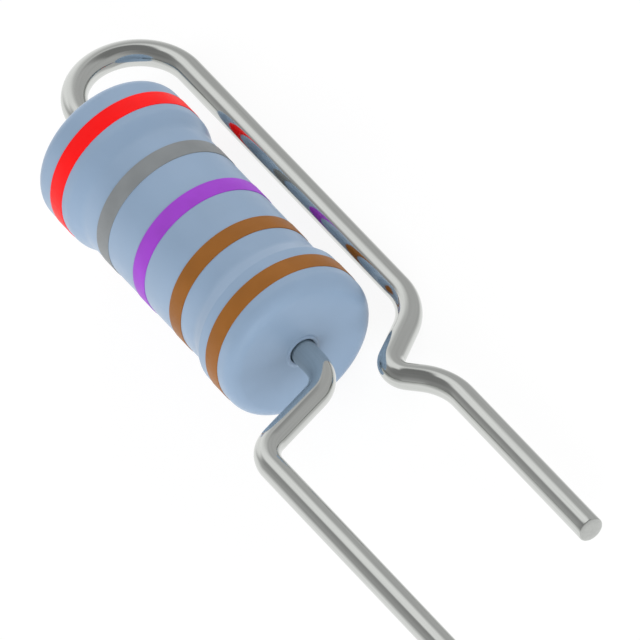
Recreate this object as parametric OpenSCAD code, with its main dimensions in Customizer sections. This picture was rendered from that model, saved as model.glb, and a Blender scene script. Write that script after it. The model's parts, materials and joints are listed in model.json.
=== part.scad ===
// Axial film resistor, formed for upright mounting, millimetres.
// The body is built from the inside out: rod, resistive film, pressed caps, welded leads,
// lacquer and printed bands. It lies at rest on its two end bulges and on the returning lead.

/* [Rod and film] */
// Diameter of the ceramic rod
rod_d = 3.9; // [3.6:0.05:4.4]
// Length of the ceramic rod
rod_len = 9; // [8:0.1:12]
// Chamfer on the rod's end edges
rod_chamfer = 0.12; // [0.05:0.01:0.2]
// Thickness of the resistive film, drawn thicker than the real one
film_t = 0.03; // [0.02:0.005:0.05]
// Advance of the trimming cut for each turn
trim_pitch = 0.9; // [0.7:0.05:1.2]
// Width of the trimming cut
trim_w = 0.2; // [0.1:0.02:0.4]
// Uncut film between the trimming cut and each cap
trim_margin = 0.5; // [0.3:0.05:0.8]

/* [Caps] */
// Wall of the pressed cap
cap_wall = 0.25; // [0.2:0.01:0.3]
// Thickness of the cap's closed face
cap_base = 0.3; // [0.2:0.02:0.4]
// Length of rod that the cap covers
cap_depth = 1.4; // [1.1:0.05:1.8]
// Outer corner radius of the cap
cap_corner = 0.18; // [0.1:0.01:0.19]

/* [Lacquer] */
// Lacquer over the bare part of the film
coat_waist = 0.32; // [0.27:0.01:0.36]
// Lacquer over the caps
coat_cap = 0.27; // [0.24:0.01:0.4]
// Lacquer over the closed face of each cap
coat_end = 0.4; // [0.35:0.01:0.6]
// Edge radius of the body's end faces
edge_r = 0.45; // [0.35:0.01:0.6]
// Angle between the shoulder's flank and the body's axis
shoulder_angle = 21; // [16:1:40]
// Radius where the shoulder's flank meets the bulge
shoulder_r = 0.4; // [0.2:0.05:0.6]
// How far the shoulder runs past the cap at the hairpin end
lap_hairpin = 0.22; // [0.05:0.01:0.35]
// How far the shoulder runs past the cap at the kinked end
lap_kinked = 0.07; // [0.05:0.01:0.3]

/* [Colour bands] */
// Width of a printed band
band_w = 0.61; // [0.4:0.01:0.7]
// Thickness of a printed band
band_t = 0.02; // [0.01:0.005:0.04]
// Centre of the waist's outer bands, measured from the foot of the shoulder beside them
waist_band_in = 1.03; // [0.6:0.01:1.2]
// First band's centre, measured from the hairpin end face
first_band_in = 1.17; // [0.9:0.01:1.3]
// Last band's centre, measured from the kinked end face
last_band_in = 0.98; // [0.9:0.01:1.15]

/* [Leads] */
// Diameter of the tinned copper wire
wire_d = 0.8; // [0.6:0.02:0.9]
// Diameter of the upset at the welded end
weld_d = 1.25; // [1.1:0.01:1.5]
// Length of the upset at the welded end
weld_len = 0.22; // [0.15:0.01:0.3]
// How much the wire's radius thins where it is bent
bend_thinning = 0.012; // [0.008:0.001:0.02]

/* [Hairpin lead] */
// Straight wire between the hairpin end face and the start of the turn
hairpin_neck = 1.18; // [0.8:0.01:2]
// Gap between the returning wire and the bulges
return_gap = 0.76; // [0.4:0.01:1.5]
// First kink corner, measured from the kinked end face
kink_start = 0.41; // [0.1:0.01:0.8]
// Run of the kink's inward leg along the body's axis
kink_in_run = 1.76; // [1.6:0.01:2.2]
// Depth of the kink's inward leg
kink_depth = 2.26; // [2:0.01:2.35]
// Run of the kink's outward leg along the body's axis
kink_out_run = 1.32; // [1.3:0.01:1.8]
// Height that the outward leg regains
kink_rise = 1.33; // [1.28:0.01:1.5]
// Bend radius where the kink starts
kink_start_r = 1.96; // [1.5:0.02:2.1]
// Bend radius at the kink's point
kink_point_r = 0.6; // [0.5:0.01:0.65]
// Bend radius where the kink ends
kink_end_r = 1.89; // [1.5:0.01:1.95]
// Reach of the lead's tip beyond the kinked end face
hairpin_reach = 10.9; // [8:0.05:20]

/* [Kinked lead] */
// First corner, measured from the kinked end face
jog_start = 1.49; // [1.3:0.01:2]
// Run of the jog along the body's axis
jog_run = 1.31; // [0.8:0.01:1.8]
// Distance of the lead's straight end from the body's axis
jog_offset = 3.3; // [3:0.01:4.5]
// Bend radius next to the body
jog_in_r = 1.18; // [0.8:0.01:1.4]
// Bend radius at the straight end
jog_out_r = 1.01; // [0.8:0.01:1.3]
// Reach of the lead's tip beyond the kinked end face
kinked_reach = 13.1; // [8:0.05:20]

/* [Hidden] */

$fn = 96;

// Radii, from the axis outwards
rod_r = rod_d / 2;
film_r = rod_r + film_t;
cap_r = film_r + cap_wall;
waist_r = film_r + coat_waist;
bulge_r = cap_r + coat_cap;
wire_r = wire_d / 2;
weld_r = weld_d / 2;

// Places along the body's axis, measured from the middle of the body
rod_end = rod_len / 2;
cap_face = rod_end + cap_base;
cap_mouth = rod_end - cap_depth;
body_end = cap_face + coat_end;
trim_half = cap_mouth - trim_margin;
grey_band_x = waist_band_in + lap_hairpin - cap_mouth;
first_brown_band_x = cap_mouth - lap_kinked - waist_band_in;
violet_band_x = (grey_band_x + first_brown_band_x) / 2;

// The film is a thin sleeve with flat sides. Its cut is a helix with a whole number of turns.
film_sides = 48;
film_end = rod_end - rod_chamfer;
cut_steps = film_sides * floor(2 * trim_half / trim_pitch);
function cut_z(j) = trim_pitch * (j - cut_steps / 2) / film_sides - trim_w / 2;

// Where each point of a wall stands in the film's list of points
wall_points = 2 * (cut_steps + 1) + 2 * film_sides;
function cut_low(j) = j;
function cut_high(j) = cut_steps + 1 + j;
function low_end(i) = 2 * (cut_steps + 1) + i % film_sides;
function high_end(i) = low_end(i) + film_sides;

// The returning wire's distance from the body's axis, before and after its kink
return_offset = bulge_r + return_gap + wire_r;
kink_offset = return_offset - kink_depth;
pin_offset = kink_offset + kink_rise;
turn_r = return_offset / 2;
turn_x = -(body_end + hairpin_neck + turn_r);
hairpin_tip_x = body_end + hairpin_reach;
kinked_tip_x = body_end + kinked_reach;

// Corners of each lead's centre line, as distance along the axis and distance from it
hairpin_path = [
    [-cap_face, 0],
    [turn_x, 0],
    [turn_x, return_offset],
    [body_end + kink_start, return_offset],
    [body_end + kink_start + kink_in_run, kink_offset],
    [body_end + kink_start + kink_in_run + kink_out_run, pin_offset],
    [hairpin_tip_x, pin_offset]
];
hairpin_radii = [0, turn_r, turn_r, kink_start_r, kink_point_r, kink_end_r, 0];
kinked_path = [
    [cap_face, 0],
    [body_end + jog_start, 0],
    [body_end + jog_start + jog_run, -jog_offset],
    [kinked_tip_x, -jog_offset]
];
kinked_radii = [0, jog_in_r, jog_out_r, 0];

// The body rolls about its axis until the returning wire touches the floor beside it
rest_r = bulge_r + band_t;
roll = asin((rest_r - wire_r) / return_offset);

// Middle of the whole object's box, seen from above
left_x = turn_x - wire_r;
near_y = -max(rest_r, jog_offset * cos(roll) + wire_r);
far_y = return_offset * cos(roll) + wire_r;
middle_x = (left_x + max(hairpin_tip_x, kinked_tip_x)) / 2;
middle_y = (near_y + far_y) / 2;

// Places the object on the floor, with its box centred on the origin
module at_rest() {
    translate([-middle_x, -middle_y, rest_r]) rotate([-roll, 0, 0]) children();
}

// Turns a half section about the body's axis. In the section, X is the radius.
module turned() {
    rotate([0, 90, 0]) rotate_extrude() children();
}

// Copies a half section to the other end of the body when side is -1
module at_side(side) {
    mirror([0, side < 0 ? 1 : 0]) children();
}

// Half section of a cap's outside, with its mouth at cap_mouth and its outer corner rounded
module cap_outline() {
    translate([0, cap_mouth]) square([cap_r, cap_face - cap_corner - cap_mouth]);
    translate([0, cap_mouth]) square([cap_r - cap_corner, cap_face - cap_mouth]);
    translate([cap_r - cap_corner, cap_face - cap_corner]) circle(r = cap_corner);
}

// Half section of one lacquered bulge: rounded outer edge, flat land and sloping shoulder, whose
// flank runs into the land through a small radius
module bulge_outline(lap) {
    foot = cap_mouth - lap;
    land = foot + (bulge_r - waist_r) / tan(shoulder_angle) + shoulder_r * tan(shoulder_angle / 2);
    centre = [bulge_r - shoulder_r, land];
    flank_top = centre + shoulder_r * [cos(shoulder_angle), -sin(shoulder_angle)];
    translate([0, land]) square([bulge_r, body_end - edge_r - land]);
    translate([0, land]) square([bulge_r - edge_r, body_end - land]);
    translate([bulge_r - edge_r, body_end - edge_r]) circle(r = edge_r);
    polygon([[0, foot], [waist_r, foot], flank_top, centre, [0, land]]);
    intersection() {
        translate(centre) circle(r = shoulder_r);
        translate([0, flank_top[1]]) square([bulge_r, land - flank_top[1]]);
    }
}

// Half section of everything that the lacquer flows round
module covered_outline() {
    translate([0, -cap_mouth]) square([film_r, 2 * cap_mouth]);
    for (side = [-1, 1]) at_side(side) {
        cap_outline();
        polygon([
            [0, cap_face - cap_corner], [weld_r, cap_face - cap_corner], [weld_r, cap_face],
            [wire_r, cap_face + weld_len], [wire_r, body_end + coat_end], [0, body_end + coat_end]
        ]);
    }
}

// Unit direction from one corner of a path to the next
function heading(path, i) = (path[i + 1] - path[i]) / norm(path[i + 1] - path[i]);

// Angle that the path turns through at a corner, positive to the left
function turn_at(path, i) =
    let (a = heading(path, i - 1), b = heading(path, i))
    atan2(a[0] * b[1] - a[1] * b[0], a[0] * b[0] + a[1] * b[1]);

// Length of straight that a bend takes away on each side of its corner
function trim_at(path, radii, i) =
    (i == 0 || i == len(path) - 1) ? 0 : radii[i] * tan(abs(turn_at(path, i)) / 2);

// How far a straight runs on into a bend, so that its end face swallows the bend's section
function run_on(path, radii, i) =
    (i == 0 || i == len(path) - 1) ? 0 : sqrt(radii[i] * bend_thinning);

// Round wire along a path in the XY plane, with a true arc at each corner
module formed_wire(path, radii) {
    for (i = [0 : len(path) - 2]) {
        along = heading(path, i);
        start = path[i] + along * (trim_at(path, radii, i) - run_on(path, radii, i));
        end = path[i + 1] - along * (trim_at(path, radii, i + 1) - run_on(path, radii, i + 1));
        translate([start[0], start[1], 0])
            rotate([0, 90, atan2(along[1], along[0])])
                cylinder(h = (end - start) * along, r = wire_r);
    }
    for (i = [1 : len(path) - 2]) {
        along = heading(path, i - 1);
        turn = turn_at(path, i);
        side = sign(turn);
        centre = path[i] - along * trim_at(path, radii, i)
            + side * radii[i] * [-along[1], along[0]];
        first = atan2(along[1], along[0]) - side * 90;
        translate([centre[0], centre[1], 0])
            rotate([0, 0, side > 0 ? first : first + turn])
                rotate_extrude(angle = abs(turn))
                    translate([radii[i], 0]) circle(r = wire_r - bend_thinning);
    }
}

// Cone where the wire was upset as it was welded to a cap, ending inside the wire
module weld_upset(side) {
    end_r = wire_r / 2;
    translate([side * cap_face, 0, 0]) rotate([0, side * 90, 0])
        cylinder(h = weld_len * (weld_r - end_r) / (weld_r - wire_r), r1 = weld_r, r2 = end_r);
}

// Pressed steel cup over one end of the filmed rod
module end_cap(side) {
    turned() at_side(side) difference() {
        cap_outline();
        translate([0, cap_mouth - cap_base]) square([film_r, cap_depth + cap_base]);
    }
}

// Printed ring round the lacquer
module band(radius, x) {
    turned() translate([radius, x - band_w / 2]) square([band_t, band_w]);
}

module ceramic_core() {
    color("#efece2") at_rest() turned() polygon([
        [0, -rod_end], [rod_r - rod_chamfer, -rod_end], [rod_r, rod_chamfer - rod_end],
        [rod_r, rod_end - rod_chamfer], [rod_r - rod_chamfer, rod_end], [0, rod_end]
    ]);
}

// Point of the film on a given column of the sleeve, at a given radius and height
function film_point(radius, column, z) =
    [radius * cos(360 * column / film_sides), radius * sin(360 * column / film_sides), z];

// The film's points for one wall of the sleeve: both edges of the helical cut, then both ends
function film_wall(radius) = concat(
    [for (j = [0 : cut_steps]) film_point(radius, j, cut_z(j))],
    [for (j = [0 : cut_steps]) film_point(radius, j, cut_z(j) + trim_w)],
    [for (i = [0 : film_sides - 1]) film_point(radius, i, -film_end)],
    [for (i = [0 : film_sides - 1]) film_point(radius, i, film_end)]
);

// The film's faces on one wall. Each is a cell between two columns of the sleeve. The first
// and last cells also take in the corners where the cut starts and stops.
function film_cells() = concat(
    [for (i = [0 : film_sides - 2]) [low_end(i), low_end(i + 1), cut_low(i + 1), cut_low(i)]],
    [[low_end(film_sides - 1), low_end(0), cut_low(0), cut_high(0),
        cut_low(film_sides), cut_low(film_sides - 1)]],
    [for (j = [0 : cut_steps - film_sides - 1])
        [cut_high(j), cut_high(j + 1), cut_low(j + 1 + film_sides), cut_low(j + film_sides)]],
    [[cut_high(cut_steps - film_sides + 1), high_end(1), high_end(0),
        cut_high(cut_steps), cut_low(cut_steps), cut_high(cut_steps - film_sides)]],
    [for (i = [1 : film_sides - 1])
        [cut_high(cut_steps - film_sides + i), cut_high(cut_steps - film_sides + i + 1),
            high_end(i + 1), high_end(i)]]
);

// Two triangles that join an edge of the outer wall to the same edge of the inner wall
function film_edge(a, b) = [[b, a + wall_points, a], [b + wall_points, a + wall_points, b]];

// Every free edge of the film's wall, in the order that leaves the film on the left
function film_edges() = concat(
    [for (j = [0 : cut_steps - 1]) each film_edge(cut_low(j + 1), cut_low(j))],
    [for (j = [0 : cut_steps - 1]) each film_edge(cut_high(j), cut_high(j + 1))],
    film_edge(cut_low(0), cut_high(0)),
    film_edge(cut_high(cut_steps), cut_low(cut_steps)),
    [for (i = [0 : film_sides - 1]) each film_edge(low_end(i), low_end(i + 1))],
    [for (i = [0 : film_sides - 1]) each film_edge(high_end(i + 1), high_end(i))]
);

// Metal film on the rod, cut into a helical track that sets the resistance
module resistive_film() {
    cells = film_cells();
    outer_faces = [for (cell = cells) [cell[0], for (k = [len(cell) - 1 : -1 : 1]) cell[k]]];
    inner_faces = [for (cell = cells) [for (point = cell) point + wall_points]];
    color("#6f6a60") at_rest() rotate([0, 90, 0]) polyhedron(
        points = concat(film_wall(film_r), film_wall(rod_r / cos(180 / film_sides))),
        faces = concat(outer_faces, inner_faces, film_edges())
    );
}

module hairpin_end_cap() {
    color("#b9bcbd") at_rest() end_cap(-1);
}

module kinked_end_cap() {
    color("#b9bcbd") at_rest() end_cap(1);
}

// Lead that turns back beside the body and is kinked to stand the body off the board
module hairpin_lead() {
    color("#b4b8b7") at_rest() {
        formed_wire(hairpin_path, hairpin_radii);
        weld_upset(-1);
    }
}

// Lead that leaves on the axis and jogs to the opposite side
module kinked_lead() {
    color("#b4b8b7") at_rest() {
        formed_wire(kinked_path, kinked_radii);
        weld_upset(1);
    }
}

// Lacquer over the rod and caps, thicker over the caps, hollow where they lie
module lacquer_coat() {
    color("#97abc5") at_rest() turned() difference() {
        union() {
            translate([0, -cap_mouth - lap_hairpin])
                square([waist_r, 2 * cap_mouth + lap_hairpin + lap_kinked]);
            at_side(-1) bulge_outline(lap_hairpin);
            at_side(1) bulge_outline(lap_kinked);
        }
        covered_outline();
    }
}

module red_band() {
    color("#f5302b") at_rest() band(bulge_r, first_band_in - body_end);
}

module grey_band() {
    color("#7c8488") at_rest() band(waist_r, grey_band_x);
}

module violet_band() {
    color("#9845ba") at_rest() band(waist_r, violet_band_x);
}

module first_brown_band() {
    color("#94601f") at_rest() band(waist_r, first_brown_band_x);
}

module last_brown_band() {
    color("#94601f") at_rest() band(bulge_r, body_end - last_band_in);
}

ceramic_core();
resistive_film();
hairpin_end_cap();
kinked_end_cap();
hairpin_lead();
kinked_lead();
lacquer_coat();
red_band();
grey_band();
violet_band();
first_brown_band();
last_brown_band();
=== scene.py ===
"""Surfaces, materials and studio of an axial film resistor with formed leads.

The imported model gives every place. The lacquer, the printed bands and both leads are worked out
again as fine turned and swept surfaces, and each piece gets the material that it is made of."""

import json
import math

import bpy
import numpy as np
from bpy.props import FloatProperty, FloatVectorProperty, IntProperty, PointerProperty
from mathutils import Matrix, Vector


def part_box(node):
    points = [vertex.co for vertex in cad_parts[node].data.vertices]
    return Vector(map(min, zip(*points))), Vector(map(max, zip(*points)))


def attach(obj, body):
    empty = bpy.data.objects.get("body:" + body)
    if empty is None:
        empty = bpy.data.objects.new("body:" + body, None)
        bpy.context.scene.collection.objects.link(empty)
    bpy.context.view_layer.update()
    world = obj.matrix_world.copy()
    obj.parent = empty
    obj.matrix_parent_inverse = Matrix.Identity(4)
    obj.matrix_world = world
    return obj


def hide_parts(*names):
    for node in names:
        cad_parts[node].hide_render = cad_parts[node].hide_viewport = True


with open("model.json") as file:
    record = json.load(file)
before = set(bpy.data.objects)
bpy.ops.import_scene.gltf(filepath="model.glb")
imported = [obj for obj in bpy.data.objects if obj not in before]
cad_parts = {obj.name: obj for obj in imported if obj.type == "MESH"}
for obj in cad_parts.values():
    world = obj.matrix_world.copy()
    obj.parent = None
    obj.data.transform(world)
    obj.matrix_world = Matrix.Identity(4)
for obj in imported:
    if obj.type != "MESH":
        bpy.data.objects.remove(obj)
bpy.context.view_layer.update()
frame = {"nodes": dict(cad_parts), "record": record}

bl_info = {
    "name": "Formed Axial Resistor",
    "version": (1, 0, 0),
    "blender": (4, 5, 0),
    "location": "3D View > Sidebar > Resistor",
    "description": "Builds the body, printed bands, tinned leads and studio of a resistor",
    "category": "Add Mesh",
}

MM = 0.001
QUARTER_TURN = math.pi / 2
WHITE = (1, 1, 1, 1)


def linear(hex_colour):
    """Turns an sRGB hex value into linear red, green and blue, by the curve that defines sRGB: a
    straight foot, and a power of 2.4 above it."""
    srgb = np.array([hex_colour >> 16 & 255, hex_colour >> 8 & 255, hex_colour & 255]) / 255
    return tuple(np.where(srgb <= 0.04045, srgb / 12.92, ((srgb + 0.055) / 1.055) ** 2.4))


def length(name, millimetres, description):
    """A length that a user can change, kept in metres."""
    return FloatProperty(
        name=name, description=description, default=millimetres * MM, min=0,
        unit="LENGTH", subtype="DISTANCE", precision=5)


def angle(name, degrees, description):
    """An angle that a user can change, kept in radians."""
    return FloatProperty(
        name=name, description=description, default=math.radians(degrees),
        unit="ROTATION", subtype="ANGLE")


def colour(name, hex_colour, description):
    """A surface colour that a user can change."""
    return FloatVectorProperty(
        name=name, description=description, default=linear(hex_colour), size=3,
        subtype="COLOR", min=0, max=1)


class BodySizes(bpy.types.PropertyGroup):
    """The lacquered body."""

    bulge_diameter: length("Bulge", 5.0, "Diameter over the lacquered end caps")
    waist_diameter: length("Waist", 4.6, "Diameter over the lacquered rod")
    edge_radius: length("Edge", 0.45, "Edge radius of the end faces")
    shoulder_angle: angle("Shoulder", 21, "Angle between a shoulder's flank and the axis")
    hairpin_top: length("Hairpin shoulder", 0.5, "Radius of the hairpin end's shoulder")
    kinked_top: length("Kinked shoulder", 0.15, "Radius of the kinked end's sharper shoulder")
    foot_radius: length("Shoulder foot", 0.7, "Radius where a flank meets the waist")
    hairpin_foot: length("Hairpin foot", 2.88, "From the middle to the hairpin end's shoulder foot")
    kinked_foot: length("Kinked foot", 3.03, "From the middle to the kinked end's shoulder foot")
    bead_radius: length("Bead", 0.07, "Radius of the bead of lacquer round the wire")
    cap_corner: length("Cap corner", 0.18, "Outer corner radius of the pressed caps")
    ink_edge: length("Ink edge", 0.02, "How far a printed band's edge feathers out")


class LeadSizes(bpy.types.PropertyGroup):
    """Both leads: weld, cut tip, and the corners of their centre lines."""

    weld_diameter: length("Weld", 1.25, "Diameter of the upset at the welded end")
    weld_length: length("Weld length", 0.22, "Length of the upset at the welded end")
    tip_edge: length("Tip edge", 0.035, "Edge radius of the cut tip")
    hairpin_neck: length("Neck", 1.18, "Straight wire before the hairpin's half circle")
    return_gap: length("Return gap", 0.76, "Gap between the returning wire and the bulges")
    kink_start: length("Kink start", 0.41, "First kink corner, from the kinked end face")
    kink_in_run: length("Kink in", 1.76, "Run of the kink's inward leg along the axis")
    kink_depth: length("Kink depth", 2.26, "Depth of the kink's inward leg")
    kink_out_run: length("Kink out", 1.32, "Run of the kink's outward leg along the axis")
    kink_rise: length("Kink rise", 1.33, "Height that the outward leg regains")
    kink_start_radius: length("Kink start bend", 1.96, "Bend radius where the kink starts")
    kink_point_radius: length("Kink point bend", 0.6, "Bend radius at the kink's point")
    kink_end_radius: length("Kink end bend", 1.89, "Bend radius where the kink ends")
    jog_start: length("Jog start", 1.49, "First jog corner, from the kinked end face")
    jog_run: length("Jog run", 1.31, "Run of the jog along the axis")
    jog_offset: length("Jog offset", 3.3, "Distance of the kinked lead's pin from the axis")
    jog_in_radius: length("Jog in bend", 1.18, "Bend radius next to the body")
    jog_out_radius: length("Jog out bend", 1.01, "Bend radius at the pin")


class Fineness(bpy.types.PropertyGroup):
    """How finely the curved surfaces are divided."""

    body_sides: IntProperty(
        name="Body sides", description="Steps round the body", default=256, min=3)
    wire_sides: IntProperty(
        name="Wire sides", description="Steps round a wire", default=96, min=3)
    arc_steps: IntProperty(
        name="Arc steps", description="Steps in a rounding of the body or a quarter turn of wire",
        default=24, min=4)
    edge_steps: IntProperty(
        name="Edge steps", description="Steps in a hidden corner, a feathered edge or a tip's edge",
        default=6, min=1)
    face_rings: IntProperty(
        name="Face rings", description="Rings on the flat of an end face", default=7, min=1)
    ring_gap: length("Ring gap", 0.25, "Distance between two rings on straight wire")


class Finishes(bpy.types.PropertyGroup):
    """Colours of the materials."""

    lacquer: colour("Lacquer", 0x8AA1BB, "Light blue epoxy lacquer")
    red_ink: colour("Red", 0xFF0C0E, "Ink of the first band")
    grey_ink: colour("Grey", 0x828688, "Ink of the second band")
    violet_ink: colour("Violet", 0x9C42C6, "Ink of the third band")
    brown_ink: colour("Brown", 0x935D25, "Ink of the last two bands")
    tin: colour("Tin", 0xD0D2CF, "Hot tin on the leads' drawn copper")
    alumina: colour("Alumina", 0xEFECE2, "Fired ceramic rod")
    film: colour("Film", 0x8C867A, "Sputtered nickel chromium")
    steel: colour("Steel", 0xC2C4C3, "Tin plated steel of the caps")


class Studio(bpy.types.PropertyGroup):
    """Camera, floor and light."""

    axis_to_viewer: angle("Axis to viewer", 37.4, "Angle of the body's axis out of the picture")
    plane_turn: angle("Lead plane", 27.3, "Turn of the leads' plane away from the viewer")
    axis_slope: angle("Axis slope", 46.25, "Fall of the body's axis across the picture")
    lens: FloatProperty(name="Lens", description="Focal length in millimetres", default=1406, min=1)
    middle_across: FloatProperty(
        name="Middle across", description="Body's middle across the picture in pixels",
        default=204.0)
    middle_down: FloatProperty(
        name="Middle down", description="Body's middle down the picture in pixels", default=247.6)
    pixels_per_mm: FloatProperty(
        name="Pixels per mm", description="Scale of the picture at the body's middle", default=34.5)
    floor_size: length("Floor", 1200, "Side of the square floor")
    floor_white: FloatProperty(
        name="Floor white", description="Share of light that the floor throws back",
        default=0.85, min=0, max=1)
    floor_glow: FloatProperty(
        name="Floor glow", description="Light of the floor's glow where it is seen directly",
        default=1.06)
    floor_share: FloatProperty(
        name="Floor share", description="Share of that glow over the shadow on the floor",
        default=0.84, min=0, max=1)
    tent_radius: length("Tent", 250, "Distance of the mirrored surroundings from the body")
    lamp_distance: length("Lamp distance", 450, "Distance of the soft lamps from the body")
    lamp_size: length("Lamp size", 300, "Side of a square soft lamp")
    left_lamp: FloatProperty(
        name="Left lamp", description="Power of the lamp at the viewer's left in watts",
        default=0.93)
    back_lamp: FloatProperty(
        name="Back lamp", description="Power of the lamp behind the body in watts", default=1.15)
    tip_lamp: FloatProperty(
        name="Tip lamp", description="Power of the lamp past the lead tips in watts", default=1.5)
    world_level: FloatProperty(
        name="World", description="Light that the white surroundings shed", default=0.53)


def lead_plane(scene):
    """The body's middle, and unit vectors along its axis, towards the returning lead and out of
    the leads' plane. Both pins' mounts lie in that plane, on opposite sides of the axis."""
    pins = {mount["name"]: np.array(mount["pos_m"]) for mount in frame["record"]["mounts"]}
    along = np.array([1.0, 0.0, 0.0])
    across = pins["hairpin_lead_pin"] - pins["kinked_lead_pin"]
    across -= along * across.dot(along)
    across /= np.linalg.norm(across)
    middle = pins["kinked_lead_pin"] + across * scene.resistor_leads.jog_offset
    low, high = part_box("lacquer_coat")
    middle[0] = (low.x + high.x) / 2
    return middle, along, across, np.cross(along, across)


def wire_radius():
    """The wire's radius, as the pins' mounts give it."""
    return frame["record"]["mounts"][0]["dims"]["r_mm"] * MM


def span(scene, node):
    """Lowest and highest place of a node along the axis, measured from the body's middle."""
    middle = lead_plane(scene)[0][0]
    low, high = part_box(node)
    return low.x - middle, high.x - middle


def radius_of(node):
    """Radius of a turned node, from the width of its box."""
    low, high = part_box(node)
    return (high.y - low.y) / 2


def arc(centre, radius, first, last, steps):
    """Points of an arc: centre + radius (cos t, sin t), with t from first to last in degrees."""
    t = np.radians(np.linspace(first, last, steps + 1))
    return np.array(centre) + radius * np.stack([np.cos(t), np.sin(t)], 1)


def once_round(sides):
    """Angles that go once round in equal steps."""
    return 2 * np.pi * np.arange(sides) / sides


def turned(profile, sides):
    """Turns a profile about the body's axis. Point (x, r) of the profile becomes the ring
    (x, r cos a, r sin a), with a going once round."""
    a = once_round(sides)
    x, r = profile[:, :1], profile[:, 1:]
    return np.stack([x + 0 * a, r * np.cos(a), r * np.sin(a)], 2)


def grid_faces(rows, columns, rows_meet=False):
    """Four-sided faces of a grid of points, whose last column is joined to its first, and its last
    row too where rows meet. They face outwards where the rows follow the axis that the columns
    turn about."""
    i = np.arange(rows if rows_meet else rows - 1)[:, None]
    j = np.arange(columns)[None, :]
    here, after = i * columns, (i + 1) % rows * columns
    beside = (j + 1) % columns
    return np.stack([here + j, here + beside, after + beside, after + j], 2).reshape(-1, 4)


def pole_fans(rows, columns):
    """Triangles that close such a grid at both ends. Each joins the edges of the first or the last
    row to a pole point, and the two poles follow the grid's points."""
    j = np.arange(columns)
    beside = (j + 1) % columns
    last_row = (rows - 1) * columns
    first_pole = np.full(columns, rows * columns)
    return np.concatenate([
        np.stack([first_pole, beside, j], 1),
        np.stack([first_pole + 1, last_row + j, last_row + beside], 1)])


def new_object(scene, name, points, quads, triangles, finish):
    """Puts points in metres and their faces into a smooth mesh object at the origin."""
    mesh = bpy.data.meshes.new(name)
    corners = np.concatenate([quads.ravel(), triangles.ravel()])
    starts = np.concatenate([
        4 * np.arange(len(quads)), 4 * len(quads) + 3 * np.arange(len(triangles))])
    mesh.vertices.add(len(points))
    mesh.vertices.foreach_set("co", points.astype(np.float32).ravel())
    mesh.loops.add(len(corners))
    mesh.loops.foreach_set("vertex_index", corners.astype(np.int32))
    mesh.polygons.add(len(starts))
    mesh.polygons.foreach_set("loop_start", starts.astype(np.int32))
    mesh.polygons.foreach_set("use_smooth", np.ones(len(starts), bool))
    mesh.update(calc_edges=True)
    mesh.validate()
    mesh.materials.append(finish)
    made = bpy.data.objects.new(name, mesh)
    scene.collection.objects.link(made)
    return made


def new_piece(scene, name, points, quads, triangles, finish, node):
    """A closed surface that rides on the body and stands for a CAD node. Its points are given
    along the axis, across it and out of the leads' plane, from the body's middle."""
    middle, along, across, out = lead_plane(scene)
    placed = middle + points @ np.stack([along, across, out])
    piece = new_object(scene, name, placed, quads, triangles, finish)
    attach(piece, "root")
    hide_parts(node)
    return piece


NO_TRIANGLES = np.empty((0, 3), int)


def new_ring(scene, name, profile, finish, node):
    """A piece turned from a closed profile."""
    sides = scene.resistor_fineness.body_sides
    faces = grid_faces(len(profile), sides, rows_meet=True)
    points = turned(profile, sides).reshape(-1, 3)
    return new_piece(scene, name, points, faces, NO_TRIANGLES, finish, node)


def add_attribute(made, name, values):
    """Gives every point of a mesh a number, or a vector, that its material reads."""
    kind, key = ("FLOAT", "value") if values.ndim == 1 else ("FLOAT_VECTOR", "vector")
    attribute = made.data.attributes.new(name, kind, "POINT")
    attribute.data.foreach_set(key, values.astype(np.float32).ravel())


def add_node(tree, kind, settings, inputs):
    """Adds a shader node, sets its own settings, and sets or links its inputs by name or number.
    A node among the inputs stands for its first output."""
    node = tree.nodes.new(kind)
    for name, value in settings.items():
        setattr(node, name, value)
    for name, value in inputs.items():
        if isinstance(value, bpy.types.Node):
            value = value.outputs[0]
        if isinstance(value, bpy.types.NodeSocket):
            tree.links.new(value, node.inputs[name])
        else:
            node.inputs[name].default_value = value
    return node


def new_material(name):
    """An empty material and its node tree."""
    material = bpy.data.materials.new(name)
    material.use_nodes = True
    material.node_tree.nodes.clear()
    return material, material.node_tree


def grain(tree, millimetres, stretch=(1, 1, 1), detail=2.0, place=None):
    """Noise whose blotches have a size in millimetres on an unstretched axis. It lies on the
    object's own places in metres, or on the places that are given."""
    place = place or add_node(tree, "ShaderNodeTexCoord", {}, {}).outputs["Object"]
    scaled = add_node(tree, "ShaderNodeMapping", {}, {"Vector": place, "Scale": stretch})
    return add_node(tree, "ShaderNodeTexNoise", {}, {
        "Vector": scaled, "Scale": 1 / (millimetres * MM), "Detail": detail})


# Most of a noise's values lie between these, so they are spread over the range that is wanted.
# Below, a Mix node's input 0 is its factor, 2 and 3 are its numbers, 6 and 7 its colours, and its
# output 2 is the mixed colour.
NOISE_RANGE = {"From Min": 0.3, "From Max": 0.7}


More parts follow.
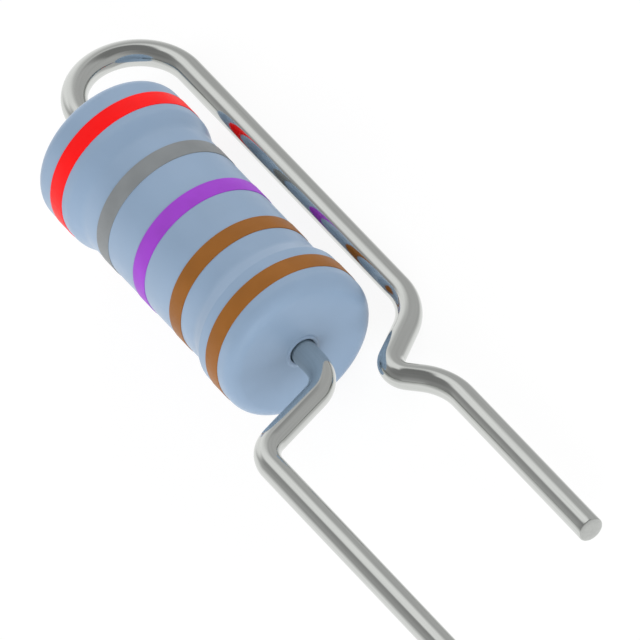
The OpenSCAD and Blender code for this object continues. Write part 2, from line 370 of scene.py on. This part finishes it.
def finish_surface(tree, base, tone, shares, texture, roughness, relief, values):
    """Ends a material's tree. The base colour goes from a darker to a lighter share of itself with
    the tone. The roughness goes over its range, and the surface rises by the relief in
    millimetres, with the texture. Gives the nodes of roughness, relief and shader."""
    darker, lighter = [(*(min(1, share * part) for part in base), 1) for share in shares]
    depth = add_node(tree, "ShaderNodeMapRange", {}, {"Value": tone, **NOISE_RANGE})
    shade = add_node(
        tree, "ShaderNodeMix", {"data_type": "RGBA"}, {0: depth, 6: darker, 7: lighter})
    rough = add_node(tree, "ShaderNodeMapRange", {}, {
        "Value": texture, **NOISE_RANGE, "To Min": roughness[0], "To Max": roughness[1]})
    bump = add_node(tree, "ShaderNodeBump", {}, {"Height": texture, "Distance": relief * MM})
    shader = add_node(tree, "ShaderNodeBsdfPrincipled", {}, {
        "Base Color": shade.outputs[2], "Roughness": rough, "Normal": bump, **values})
    add_node(tree, "ShaderNodeOutputMaterial", {}, {"Surface": shader})
    return rough, bump, shader


def epoxy_lacquer_sprayed(name, base):
    """Epoxy lacquer, sprayed in coats and stoved: satin, with a faint orange peel about a third
    of a millimetre wide and a slight mottle where the coats lie thicker."""
    material, tree = new_material(name)
    mottle = grain(tree, millimetres=1.6)
    peel = grain(tree, millimetres=0.35, detail=1.0)
    finish_surface(
        tree, base, tone=mottle, shares=(0.97, 1.03), texture=peel, roughness=(0.29, 0.35),
        relief=0.004, values={"IOR": 1.5})
    return material


def marking_ink_printed(name, base):
    """Pigmented marking ink, rolled on and cured: solid colour with a low sheen, density that
    wanders slightly round the body, and a fine grain from the roller."""
    material, tree = new_material(name)
    density = grain(tree, millimetres=0.9)
    roller = grain(tree, millimetres=0.12, detail=1.0)
    finish_surface(
        tree, base, tone=density, shares=(0.93, 1.06), texture=roller, roughness=(0.36, 0.44),
        relief=0.0015, values={"IOR": 1.5, "Specular IOR Level": 0.15})
    return material


def hot_tinned_copper_drawn(name, base):
    """Copper wire, drawn through a die and hot tinned: bright grey mirror with faint lengthwise
    draw marks and a slow ripple in the tin. The cut tip is sheared and duller."""
    material, tree = new_material(name)
    unbent = add_node(tree, "ShaderNodeAttribute", {"attribute_name": "unbent"}, {})
    cut = add_node(tree, "ShaderNodeAttribute", {"attribute_name": "cut"}, {})
    place = unbent.outputs["Vector"]
    draw_marks = grain(tree, millimetres=0.07, stretch=(0.03, 1, 1), place=place)
    ripple = grain(tree, millimetres=0.9, stretch=(0.5, 1, 1), detail=0.0, place=place)
    rough, bump, shader = finish_surface(
        tree, base, tone=draw_marks, shares=(0.95, 1.03), texture=draw_marks,
        roughness=(0.07, 0.13), relief=0.0006, values={"Metallic": 1.0})
    ripple_relief, sheared_roughness = 0.006, 0.3
    rippled = add_node(
        tree, "ShaderNodeBump", {}, {"Height": ripple, "Distance": ripple_relief * MM})
    duller = add_node(tree, "ShaderNodeMix", {"data_type": "FLOAT"}, {
        0: cut.outputs["Fac"], 2: rough, 3: sheared_roughness})
    tree.links.new(rippled.outputs[0], bump.inputs["Normal"])
    tree.links.new(duller.outputs[0], shader.inputs["Roughness"])
    return material


def alumina_fired(name, base):
    """Alumina ceramic, pressed and fired: chalky white with fine dark specks."""
    material, tree = new_material(name)
    specks = grain(tree, millimetres=0.09, detail=3.0)
    finish_surface(
        tree, base, tone=specks, shares=(0.88, 1.05), texture=specks, roughness=(0.65, 0.8),
        relief=0.004, values={"IOR": 1.76})
    return material


def nickel_chromium_sputtered(name, base):
    """Nickel chromium, sputtered on a rough rod: dull warm grey that keeps the rod's grain."""
    material, tree = new_material(name)
    rod_grain = grain(tree, millimetres=0.09, detail=3.0)
    finish_surface(
        tree, base, tone=rod_grain, shares=(0.9, 1.06), texture=rod_grain, roughness=(0.35, 0.5),
        relief=0.003, values={"Metallic": 1.0})
    return material


def tin_plated_steel_pressed(name, base):
    """Steel cup, pressed and tin plated: bright, with fine marks along the axis where the punch
    drew the wall."""
    material, tree = new_material(name)
    drawn = grain(tree, millimetres=0.1, stretch=(0.05, 1, 1))
    finish_surface(
        tree, base, tone=drawn, shares=(0.93, 1.04), texture=drawn, roughness=(0.2, 0.32),
        relief=0.001, values={"Metallic": 1.0})
    return material


def seen_directly(tree):
    """One for rays that show the background itself, in the picture, in metal or through glass."""
    rays = add_node(tree, "ShaderNodeLightPath", {}, {}).outputs
    total = rays["Is Camera Ray"]
    for kind in ("Is Glossy Ray", "Is Transmission Ray"):
        total = add_node(
            tree, "ShaderNodeMath", {"operation": "ADD", "use_clamp": True},
            {0: total, 1: rays[kind]})
    return total


def white_floor_painted(name, studio):
    """Matt white board: it takes a soft shadow, and glows with the white of the surroundings
    where it is seen directly, so that only part of the shadow is left in the picture."""
    material, tree = new_material(name)
    matt = add_node(tree, "ShaderNodeBsdfDiffuse", {}, {
        "Color": [studio.floor_white] * 3 + [1]})
    glow = add_node(tree, "ShaderNodeEmission", {}, {"Strength": studio.floor_glow})
    share = add_node(tree, "ShaderNodeMath", {"operation": "MULTIPLY"}, {
        0: seen_directly(tree), 1: studio.floor_share})
    both = add_node(tree, "ShaderNodeMixShader", {}, {0: share, 1: matt, 2: glow})
    add_node(tree, "ShaderNodeOutputMaterial", {}, {"Surface": both})
    return material


def tent_cloth_lit(name):
    """White and grey tent cloth, lit from outside: each part glows as brightly as the tent's
    attribute says."""
    material, tree = new_material(name)
    light = add_node(tree, "ShaderNodeAttribute", {"attribute_name": "light"}, {})
    glow = add_node(tree, "ShaderNodeEmission", {}, {
        "Color": WHITE, "Strength": light.outputs["Fac"]})
    add_node(tree, "ShaderNodeOutputMaterial", {}, {"Surface": glow})
    return material


# The bead of lacquer round the wire, in radii of the bead: where the flat end face stops short of
# it, how far its middle lies from the wire and under the face, and how deep the groove between it
# and the wire is. Then the degrees at which it rises from the face and drops into the groove.
FACE_STOP, BEAD_CLEAR, BEAD_SUNK, GROOVE_DEPTH = 3, 1.2, 0.3, 1.2
BEAD_RISE, BEAD_DROP = 72, -90


def lacquer_half(scene, end, foot, top):
    """Outside of one half of the body, from the waist to the wire: a hollow foot, a sloping
    flank, a rounded top, the bulge's land and edge, the flat end face, and a bead of lacquer
    with a narrow groove between it and the wire. The flank runs its rise over the tangent of its
    slope, and a rounding starts its radius times tan (slope / 2) from the corner."""
    body, fine = scene.resistor_body, scene.resistor_fineness
    bulge, waist, edge = body.bulge_diameter / 2, body.waist_diameter / 2, body.edge_radius
    slope, hollow, bead = body.shoulder_angle, body.foot_radius, body.bead_radius
    steps, wire, lean = fine.arc_steps, wire_radius(), math.degrees(slope)
    land = foot + (bulge - waist) / math.tan(slope) + top * math.tan(slope / 2)
    face = np.linspace(bulge - edge, wire + FACE_STOP * bead, fine.face_rings + 1)[1:]
    bead_middle = (end - BEAD_SUNK * bead, wire + BEAD_CLEAR * bead)
    return np.concatenate([
        arc((foot - hollow * math.tan(slope / 2), waist + hollow), hollow, -90, lean - 90, steps),
        arc((land, bulge - top), top, 90 + lean, 90, steps),
        arc((end - edge, bulge - edge), edge, 90, 0, steps),
        np.stack([np.full(len(face), end), face], 1),
        arc(bead_middle, bead, BEAD_RISE, BEAD_DROP, steps),
        [(end - GROOVE_DEPTH * bead, wire)],
    ])


def covered_half(scene):
    """Inside of one half of the body, from the wire to the film: wire, weld, cap and film."""
    leads, corner = scene.resistor_leads, scene.resistor_body.cap_corner
    mouth, face = span(scene, "kinked_end_cap")
    cap, film = radius_of("kinked_end_cap"), radius_of("resistive_film")
    return np.concatenate([
        [(face + leads.weld_length, wire_radius()), (face, leads.weld_diameter / 2)],
        arc((face - corner, cap - corner), corner, 0, 90, scene.resistor_fineness.edge_steps),
        [(mouth, cap), (mouth, film)],
    ])


def mirrored(profile):
    """The same profile at the other end of the body, run through backwards."""
    return profile[::-1] * (-1, 1)


class RESISTOR_OT_lacquer(bpy.types.Operator):
    """Add the lacquer over rod and caps, hollow where they lie"""

    bl_idname = "resistor.lacquer"
    bl_label = "Lacquered Body"

    def execute(self, context):
        scene = context.scene
        body, end = scene.resistor_body, span(scene, "lacquer_coat")[1]
        inside = covered_half(scene)
        profile = np.concatenate([
            mirrored(lacquer_half(scene, end, body.hairpin_foot, body.hairpin_top)),
            lacquer_half(scene, end, body.kinked_foot, body.kinked_top),
            inside, mirrored(inside)])
        finish = epoxy_lacquer_sprayed(
            "blue_epoxy_lacquer_sprayed", scene.resistor_finishes.lacquer)
        new_ring(scene, "sprayed_lacquer", profile, finish, "lacquer_coat")
        return {"FINISHED"}


# The nodes that each ink is printed as.
BANDS = {
    "red_ink": ("red_band",),
    "grey_ink": ("grey_band",),
    "violet_ink": ("violet_band",),
    "brown_ink": ("first_brown_band", "last_brown_band"),
}


def band_profile(scene, node):
    """Section of one printed band: flat on top, with edges that feather out in a quarter of an
    ellipse."""
    low, high = span(scene, node)
    feather, steps = scene.resistor_body.ink_edge, scene.resistor_fineness.edge_steps
    height = radius_of("red_band") - scene.resistor_body.bulge_diameter / 2
    flattened = (1, height / feather)
    base = (0, radius_of(node) - height)
    rise = arc((low + feather, 0), feather, 180, 90, steps) * flattened + base
    fall = arc((high - feather, 0), feather, 90, 0, steps) * flattened + base
    return np.concatenate([rise, fall])


class RESISTOR_OT_bands(bpy.types.Operator):
    """Add the five printed colour bands"""

    bl_idname = "resistor.bands"
    bl_label = "Printed Bands"

    def execute(self, context):
        scene = context.scene
        for ink, nodes in BANDS.items():
            finish = marking_ink_printed(f"{ink}_printed", getattr(scene.resistor_finishes, ink))
            for node in nodes:
                new_ring(scene, f"printed_{node}", band_profile(scene, node), finish, node)
        return {"FINISHED"}


def turned_left(vector, turns):
    """Vectors of the lead plane turned to the left by each angle."""
    c, s = np.cos(turns), np.sin(turns)
    return np.stack([c * vector[0] - s * vector[1], s * vector[0] + c * vector[1]], -1)


def centre_line(corners, radii, fine):
    """Points and directions of a path whose straights are joined by true arcs. An arc leaves the
    straight radius times tan(half its turn) before the corner, and its points are the centre
    plus the start's radius, turned bit by bit."""
    corners = np.array(corners)
    legs = np.diff(corners, axis=0)
    headings = legs / np.linalg.norm(legs, axis=1)[:, None]
    crosses = headings[:-1, 0] * headings[1:, 1] - headings[:-1, 1] * headings[1:, 0]
    turns = np.arctan2(crosses, (headings[:-1] * headings[1:]).sum(1))
    points, directions, start = [], [], corners[0]
    for heading, corner, turn, radius in zip(headings, corners[1:], [*turns, 0], [*radii, 0]):
        end = corner - heading * radius * math.tan(abs(turn) / 2)
        rings = round(float(np.linalg.norm(end - start)) / fine.ring_gap)
        share = np.linspace(0, 1, rings, endpoint=False)[:, None]
        points.append(start + share * (end - start))
        directions.append(np.repeat(heading[None], rings, 0))
        to_centre = turned_left(heading, math.copysign(QUARTER_TURN, turn)) * radius
        rings = round(abs(turn) / QUARTER_TURN * fine.arc_steps)
        bits = np.linspace(0, turn, rings, endpoint=False)
        points.append(end + to_centre - turned_left(to_centre, bits))
        directions.append(turned_left(heading, bits))
        start = end + to_centre - turned_left(to_centre, turn)
    points.append(corners[-1:])
    directions.append(headings[-1:])
    return np.concatenate(points), np.concatenate(directions)


def wire_grid(points, directions, leads, fine):
    """Round wire along a centre line in the lead plane. A ring is its centre + r (cos a towards
    the left of the path, sin a out of the plane). r falls from the weld's upset to the wire and
    rounds off at the tip, whose flat has one more ring half way in. Also gives the same points
    on the wire before it was bent."""
    radius, edge = wire_radius(), leads.tip_edge
    done = np.concatenate([[0], np.cumsum(np.linalg.norm(np.diff(points, axis=0), axis=1))])
    t = np.radians(np.linspace(0, 90, fine.edge_steps + 1))
    keep = (done > leads.weld_length) & (done < done[-1] - edge)
    s = np.concatenate([
        [0, leads.weld_length], done[keep], done[-1] - edge + edge * np.sin(t), [done[-1]]])
    r = np.concatenate([
        [leads.weld_diameter / 2, radius], np.full(keep.sum(), radius),
        radius - edge + edge * np.cos(t), [radius / 2]])
    centres = np.stack([np.interp(s, done, points[:, k]) for k in (0, 1)], 1)
    heading = np.stack([np.interp(s, done, directions[:, k]) for k in (0, 1)], 1)
    heading /= np.linalg.norm(heading, axis=1)[:, None]
    left = turned_left(heading.T, QUARTER_TURN)
    a = once_round(fine.wire_sides)
    side, out = r[:, None] * np.cos(a), r[:, None] * np.sin(a)
    bent = np.stack([
        centres[:, :1] + side * left[:, :1], centres[:, 1:] + side * left[:, 1:], out], 2)
    unbent = np.stack([s[:, None] + 0 * a, side, out], 2)
    return bent, unbent


def with_poles(grid):
    """A grid's values in one list, then the means of its first and last row for its poles."""
    return np.concatenate([grid.reshape(-1, *grid.shape[2:]), grid[[0, -1]].mean(1)])


# Share of the tip's edge radius, measured back from the flat, that looks cut.
CUT_SHARE = 0.25


def add_wire(scene, name, corners, radii, node):
    """Makes one lead: the swept wire, closed at both ends, and the attributes that its draw marks
    and cut tip follow."""
    leads, fine = scene.resistor_leads, scene.resistor_fineness
    grid, unbent_grid = wire_grid(*centre_line(corners, radii, fine), leads, fine)
    size = grid.shape[:2]
    drawn = "hot_tinned_copper_drawn"
    tin = bpy.data.materials.get(drawn) or hot_tinned_copper_drawn(
        drawn, scene.resistor_finishes.tin)
    piece = new_piece(
        scene, name, with_poles(grid), grid_faces(*size), pole_fans(*size), tin,
        node)
    unbent = with_poles(unbent_grid)
    reach = unbent[:, 0]
    cut = reach > reach.max() - leads.tip_edge * CUT_SHARE
    add_attribute(piece, "unbent", unbent)
    add_attribute(piece, "cut", cut.astype(float))


class RESISTOR_OT_hairpin_lead(bpy.types.Operator):
    """Add the lead that turns back beside the body and is kinked past it"""

    bl_idname = "resistor.hairpin_lead"
    bl_label = "Hairpin Lead"

    def execute(self, context):
        scene, leads = context.scene, context.scene.resistor_leads
        end, face = span(scene, "lacquer_coat")[1], span(scene, "kinked_end_cap")[1]
        back = scene.resistor_body.bulge_diameter / 2 + leads.return_gap + wire_radius()
        turn_x = -(end + leads.hairpin_neck + back / 2)
        start = end + leads.kink_start
        point = start + leads.kink_in_run
        level = back - leads.kink_depth
        corners = [
            (-face, 0), (turn_x, 0), (turn_x, back), (start, back), (point, level),
            (point + leads.kink_out_run, level + leads.kink_rise),
            (span(scene, "hairpin_lead")[1], level + leads.kink_rise)]
        radii = [
            back / 2, back / 2,
            leads.kink_start_radius, leads.kink_point_radius, leads.kink_end_radius]
        add_wire(scene, "hairpin_wire", corners, radii, "hairpin_lead")
        return {"FINISHED"}


class RESISTOR_OT_kinked_lead(bpy.types.Operator):
    """Add the lead that leaves on the axis and jogs to the opposite side"""

    bl_idname = "resistor.kinked_lead"
    bl_label = "Kinked Lead"

    def execute(self, context):
        scene, leads = context.scene, context.scene.resistor_leads
        start = span(scene, "lacquer_coat")[1] + leads.jog_start
        corners = [
            (span(scene, "kinked_end_cap")[1], 0), (start, 0),
            (start + leads.jog_run, -leads.jog_offset),
            (span(scene, "kinked_lead")[1], -leads.jog_offset)]
        radii = [leads.jog_in_radius, leads.jog_out_radius]
        add_wire(scene, "kinked_wire", corners, radii, "kinked_lead")
        return {"FINISHED"}


class RESISTOR_OT_inner_parts(bpy.types.Operator):
    """Give the rod, film and caps under the lacquer their materials"""

    bl_idname = "resistor.inner_parts"
    bl_label = "Rod, Film and Caps"

    def execute(self, context):
        colours = context.scene.resistor_finishes
        steel = tin_plated_steel_pressed("tin_plated_steel_pressed", colours.steel)
        finishes = {
            "ceramic_core": alumina_fired("alumina_fired", colours.alumina),
            "resistive_film": nickel_chromium_sputtered("nickel_chromium_sputtered", colours.film),
            "hairpin_end_cap": steel,
            "kinked_end_cap": steel,
        }
        for node, finish in finishes.items():
            materials = frame["nodes"][node].data.materials
            materials.clear()
            materials.append(finish)
        return {"FINISHED"}


def faded(value, start, full):
    """Goes smoothly from 0 at start to 1 at full: 3 t t - 2 t t t."""
    t = np.clip((value - start) / (full - start), 0, 1)
    return t * t * (3 - 2 * t)


def within(angles, start, full, last, end):
    """Share in each direction of something that starts, is full, is full for the last time and
    ends at the given angles."""
    return faded(angles, start, full) * faded(angles, end, last)


# Parts of the tent: the azimuths and the heights in degrees at which each starts, is full, is full
# for the last time and ends, then its light. Later ones cover earlier ones.
TENT_PARTS = {
    "dark board": ((45, 62, 116, 123), (16, 32, 90, 120), 0.23),
    "dim board": ((222, 236, 290, 312), (22, 38, 44, 64), 0.30),
    "window": ((118, 127, 165, 190), (16, 38, 56, 70), 1.0),
    "end wall": ((132, 168, 190, 208), (-60, -30, 26, 46), 1.0),
}
# Light of the tent's cloth low down and overhead, and the heights between which it darkens.
CLOTH, OVERHEAD, DARKENING = 0.52, 0.24, (18, 78)
# Edge of the white ground: its height in general and on the viewer's left, the azimuths of that
# left, and half the width over which it blurs, in degrees.
GROUND_LOW, GROUND_HIGH, GROUND_LEFT, GROUND_BLUR = -47, 17, (170, 218, 305, 350), 14
# Columns and rows of the tent's grid, and the height of its last row in degrees.
TENT_COLUMNS, TENT_ROWS, TENT_TOP = 180, 90, 89


def tent_light(azimuth, height):
    """Light of the tent by azimuth and height in degrees: grey cloth that darkens overhead, its
    parts, and a white ground that is higher on the viewer's left. Each goes from the light below
    it to its own by its share."""
    light = CLOTH + (OVERHEAD - CLOTH) * faded(height, *DARKENING)
    for azimuths, heights, level in TENT_PARTS.values():
        share = within(azimuth, *azimuths) * within(height, *heights)
        light = light + share * (level - light)
    edge = GROUND_LOW + (GROUND_HIGH - GROUND_LOW) * within(azimuth, *GROUND_LEFT)
    return light + faded(height, edge + GROUND_BLUR, edge - GROUND_BLUR) * (1 - light)


def add_tent(scene):
    """The surroundings that only bright surfaces mirror: a sphere about the body, whose points
    are middle + radius (cos h cos a, cos h sin a, sin h), with azimuth a and height h."""
    azimuth = np.linspace(0, 360, TENT_COLUMNS, endpoint=False)[None, :]
    height = np.linspace(-TENT_TOP, TENT_TOP, TENT_ROWS)[:, None]
    a, h = np.radians(azimuth), np.radians(height)
    towards = np.stack([np.cos(h) * np.cos(a), np.cos(h) * np.sin(a), np.sin(h) + 0 * a], 2)
    points = lead_plane(scene)[0] + scene.resistor_studio.tent_radius * towards
    size = points.shape[:2]
    tent = new_object(
        scene, "tent", with_poles(points), grid_faces(*size), pole_fans(*size),
        tent_cloth_lit("tent_cloth_lit"))
    add_attribute(tent, "light", with_poles(tent_light(azimuth, height)))
    tent.visible_camera = False
    tent.visible_diffuse = False
    tent.visible_shadow = False
    tent.visible_transmission = False


def camera_axes(scene):
    """Unit vectors to the right, up and towards the viewer. The view starts square over the leads'
    plane. It is turned about the body's axis by the plane's turn, tipped until the axis comes out
    of the picture by its angle, and rolled until the axis falls across the picture."""
    studio = scene.resistor_studio
    _, along, across, out = lead_plane(scene)
    plane, tip, slope = studio.plane_turn, studio.axis_to_viewer, studio.axis_slope
    beside = math.cos(plane) * across + math.sin(plane) * out
    over = math.cos(plane) * out - math.sin(plane) * across
    viewer = math.sin(tip) * along + math.cos(tip) * over
    fall = math.cos(tip) * along - math.sin(tip) * over
    right = math.cos(slope) * fall + math.sin(slope) * beside
    up = math.cos(slope) * beside - math.sin(slope) * fall
    return right, up, viewer


# Side of the square picture in pixels, the sensor's width in millimetres, and the nearest and the
# farthest distance in metres that the camera sees.
PICTURE_SIDE, SENSOR, NEAREST, FARTHEST = 640, 36, 0.01, 10


def add_camera(scene):
    """Places the camera so that the body's middle falls on its pixel of the square picture. Its
    distance is the focal length over the sensor's width, times the picture's side in metres."""
    studio = scene.resistor_studio
    right, up, viewer = camera_axes(scene)
    scale = studio.pixels_per_mm / MM
    place = lead_plane(scene)[0] + viewer * studio.lens / SENSOR * PICTURE_SIDE / scale
    place += right * (PICTURE_SIDE / 2 - studio.middle_across) / scale
    place -= up * (PICTURE_SIDE / 2 - studio.middle_down) / scale
    camera = bpy.data.objects.new("camera", bpy.data.cameras.new("camera"))
    camera.data.lens = studio.lens
    camera.data.sensor_width = SENSOR
    camera.data.clip_start = NEAREST
    camera.data.clip_end = FARTHEST
    camera.matrix_world = Matrix([
        *np.stack([right, up, viewer, place], 1).tolist(), (0, 0, 0, 1)])
    scene.collection.objects.link(camera)
    scene.camera = camera


def add_floor(scene):
    """A square white floor under the part."""
    half = scene.resistor_studio.floor_size / 2
    corners = np.array([(-half, -half, 0), (half, -half, 0), (half, half, 0), (-half, half, 0)])
    board = white_floor_painted("white_floor_painted", scene.resistor_studio)
    floor = new_object(scene, "floor", corners, np.array([[0, 1, 2, 3]]), NO_TRIANGLES, board)
    floor.visible_glossy = False


def add_surroundings(scene):
    """White surroundings, at full white where they are seen directly."""
    world = bpy.data.worlds.new("white_surroundings")
    world.use_nodes = True
    scene.world = world
    tree = world.node_tree
    tree.nodes.clear()
    level = add_node(tree, "ShaderNodeMix", {"data_type": "FLOAT"}, {
        0: seen_directly(tree), 2: scene.resistor_studio.world_level, 3: 1.0})
    sky = add_node(tree, "ShaderNodeBackground", {}, {"Color": WHITE, "Strength": level})
    add_node(tree, "ShaderNodeOutputWorld", {}, {"Surface": sky})


# Directions from the body to the lamps, along the part's own axes.
LAMPS = {
    "left_lamp": (-0.6, -0.75, 0.3),
    "back_lamp": (-0.5, 0.8, 0.3),
    "tip_lamp": (0.9, -0.35, 0.27),
}


def add_lamp(scene, name, towards):
    """A large soft lamp in a direction from the body, which metal doesn't mirror."""
    studio = scene.resistor_studio
    towards = Vector(towards).normalized()
    lamp = bpy.data.lights.new(name, "AREA")
    lamp.energy = getattr(studio, name)
    lamp.size = studio.lamp_size
    made = bpy.data.objects.new(name, lamp)
    made.location = Vector(lead_plane(scene)[0]) + towards * studio.lamp_distance
    made.rotation_euler = towards.to_track_quat("Z", "Y").to_euler()
    made.visible_glossy = False
    made.visible_camera = False
    scene.collection.objects.link(made)


class RESISTOR_OT_studio(bpy.types.Operator):
    """Add the camera, floor, surroundings, soft lamps and mirrored tent"""

    bl_idname = "resistor.studio"
    bl_label = "Studio"

    def execute(self, context):
        scene = context.scene
        scene.view_settings.view_transform = "Standard"
        add_camera(scene)
        add_floor(scene)
        add_surroundings(scene)
        for name, towards in LAMPS.items():
            add_lamp(scene, name, towards)
        add_tent(scene)
        return {"FINISHED"}


class RESISTOR_PT_panel(bpy.types.Panel):
    """Lists the steps that build the resistor and the sizes that they use"""

    bl_idname = "RESISTOR_PT_panel"
    bl_label = "Formed Axial Resistor"
    bl_space_type = "VIEW_3D"
    bl_region_type = "UI"
    bl_category = "Resistor"

    def draw(self, context):
        for operator in OPERATORS:
            self.layout.operator(operator.bl_idname)
        for name, group in GROUPS.items():
            box = self.layout.box()
            for size in group.__annotations__:
                box.prop(getattr(context.scene, name), size)


GROUPS = {
    "resistor_body": BodySizes,
    "resistor_leads": LeadSizes,
    "resistor_fineness": Fineness,
    "resistor_finishes": Finishes,
    "resistor_studio": Studio,
}
OPERATORS = (
    RESISTOR_OT_lacquer, RESISTOR_OT_bands, RESISTOR_OT_hairpin_lead, RESISTOR_OT_kinked_lead,
    RESISTOR_OT_inner_parts, RESISTOR_OT_studio,
)
CLASSES = (*GROUPS.values(), *OPERATORS, RESISTOR_PT_panel)


def register():
    """Registers the classes and gives the scene its sizes."""
    for cls in CLASSES:
        bpy.utils.register_class(cls)
    for name, group in GROUPS.items():
        setattr(bpy.types.Scene, name, PointerProperty(type=group))


def unregister():
    """Takes the sizes and the classes away again."""
    for name in GROUPS:
        delattr(bpy.types.Scene, name)
    for cls in reversed(CLASSES):
        bpy.utils.unregister_class(cls)


def main():
    """Builds everything."""
    register()
    bpy.ops.resistor.lacquer()
    bpy.ops.resistor.bands()
    bpy.ops.resistor.hairpin_lead()
    bpy.ops.resistor.kinked_lead()
    bpy.ops.resistor.inner_parts()
    bpy.ops.resistor.studio()


if __name__ == "__main__":
    main()
